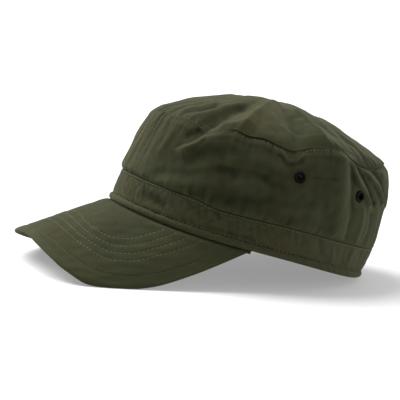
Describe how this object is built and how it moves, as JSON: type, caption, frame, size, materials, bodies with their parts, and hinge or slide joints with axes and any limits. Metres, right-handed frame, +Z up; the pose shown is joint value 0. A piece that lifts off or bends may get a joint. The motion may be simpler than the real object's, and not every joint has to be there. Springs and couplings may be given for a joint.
{
  "type": "patrol cap",
  "caption": "Soft cloth cap with a flat-sided crown, a domed oval top, a sewn band, a stiff curved peak and metal eyelets in its sides.",
  "frame": {"origin": "centre of the cap's outline on the floor it lies on", "axes": "+Z up, -Y out over the peak, +X to the wearer's left"},
  "size_m": [0.175, 0.285, 0.1336],
  "materials": {
    "cloth": "washed cotton twill, olive green",
    "band_cloth": "washed cotton twill, olive green",
    "eyelet_metal": "black lacquered brass"
  },
  "bodies": {
    "root": {"crown_top": "cloth", "crown_side_left": "cloth", "crown_side_right": "cloth", "band": "band_cloth", "peak": "cloth", "eyelet_left_side": "eyelet_metal", "eyelet_left_rear": "eyelet_metal", "eyelet_right_side": "eyelet_metal", "eyelet_right_rear": "eyelet_metal"}
  },
  "joints": []
}
